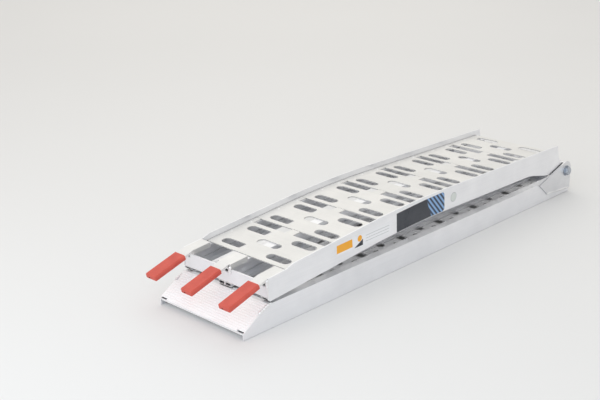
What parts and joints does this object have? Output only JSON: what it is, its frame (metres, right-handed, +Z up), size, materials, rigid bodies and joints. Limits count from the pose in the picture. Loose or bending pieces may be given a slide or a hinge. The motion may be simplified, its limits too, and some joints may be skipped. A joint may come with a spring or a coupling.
{
  "type": "folding loading ramp",
  "caption": "Folding aluminium loading ramp: a straight toe section hinged to an arched hook section with perforated deck and rubber-sleeved hooks.",
  "frame": {"origin": "on the floor, below the middle of the folded ramp's box", "axes": "+X along the ramp from the hooks and foot to the hinge, +Y across, +Z up in the folded resting pose"},
  "size_m": [1.5314, 0.335, 0.1809],
  "materials": {
    "rail_aluminium": "mill finish extrusion, satin",
    "deck_aluminium": "mill finish sheet, satin",
    "plate_aluminium": "cut plate, satin",
    "ribbed_aluminium": "fine ribbed, bright",
    "rivet_aluminium": "bright",
    "zinc_steel": "bright zinc plated",
    "red_rubber": "matt moulded"
  },
  "bodies": {
    "toe_section": {"toe_rail_left": "rail_aluminium", "toe_rail_right": "rail_aluminium", "toe_centre_rail": "rail_aluminium", "foot_plate": "ribbed_aluminium", "toe_cross_channel": "rail_aluminium", "toe_deck_rivets": "rivet_aluminium", "hinge_ear_left": "rail_aluminium", "hinge_ear_right": "rail_aluminium", "hinge_inner_lug_left": "plate_aluminium", "hinge_inner_lug_right": "plate_aluminium", "hinge_bolt_left": "zinc_steel", "hinge_bolt_right": "zinc_steel", "hinge_nut_left": "zinc_steel", "hinge_nut_right": "zinc_steel", "hinge_washers_left": "zinc_steel", "hinge_washers_right": "zinc_steel", "toe_deck_panel_1": "deck_aluminium", "toe_deck_panel_2": "deck_aluminium", "toe_deck_panel_3": "deck_aluminium", "toe_deck_panel_4": "deck_aluminium", "toe_deck_panel_5": "deck_aluminium", "toe_deck_panel_6": "deck_aluminium", "toe_deck_panel_7": "deck_aluminium", "toe_deck_panel_8": "deck_aluminium"},
    "hook_section": {"hook_rail_left": "rail_aluminium", "hook_rail_right": "rail_aluminium", "hook_centre_rail": "rail_aluminium", "hook_front_plates": "rail_aluminium", "hook_rear_plate": "rail_aluminium", "hook_deck_rivets": "rivet_aluminium", "hinge_tongue_left": "rail_aluminium", "hinge_tongue_right": "rail_aluminium", "hook_tab_left": "plate_aluminium", "hook_tab_centre": "plate_aluminium", "hook_tab_right": "plate_aluminium", "hook_sleeve_left": "red_rubber", "hook_sleeve_centre": "red_rubber", "hook_sleeve_right": "red_rubber", "hook_deck_panel_1": "deck_aluminium", "hook_deck_panel_2": "deck_aluminium", "hook_deck_panel_3": "deck_aluminium", "hook_deck_panel_4": "deck_aluminium", "hook_deck_panel_5": "deck_aluminium", "hook_deck_panel_6": "deck_aluminium", "hook_deck_panel_7": "deck_aluminium"}
  },
  "joints": [
    {"name": "fold", "type": "hinge", "parent": "toe_section", "child": "hook_section", "pos_m": [0.73216, 0, 0.079], "axis": [0, 1, 0], "range_deg": [0, 179.2]}
  ]
}
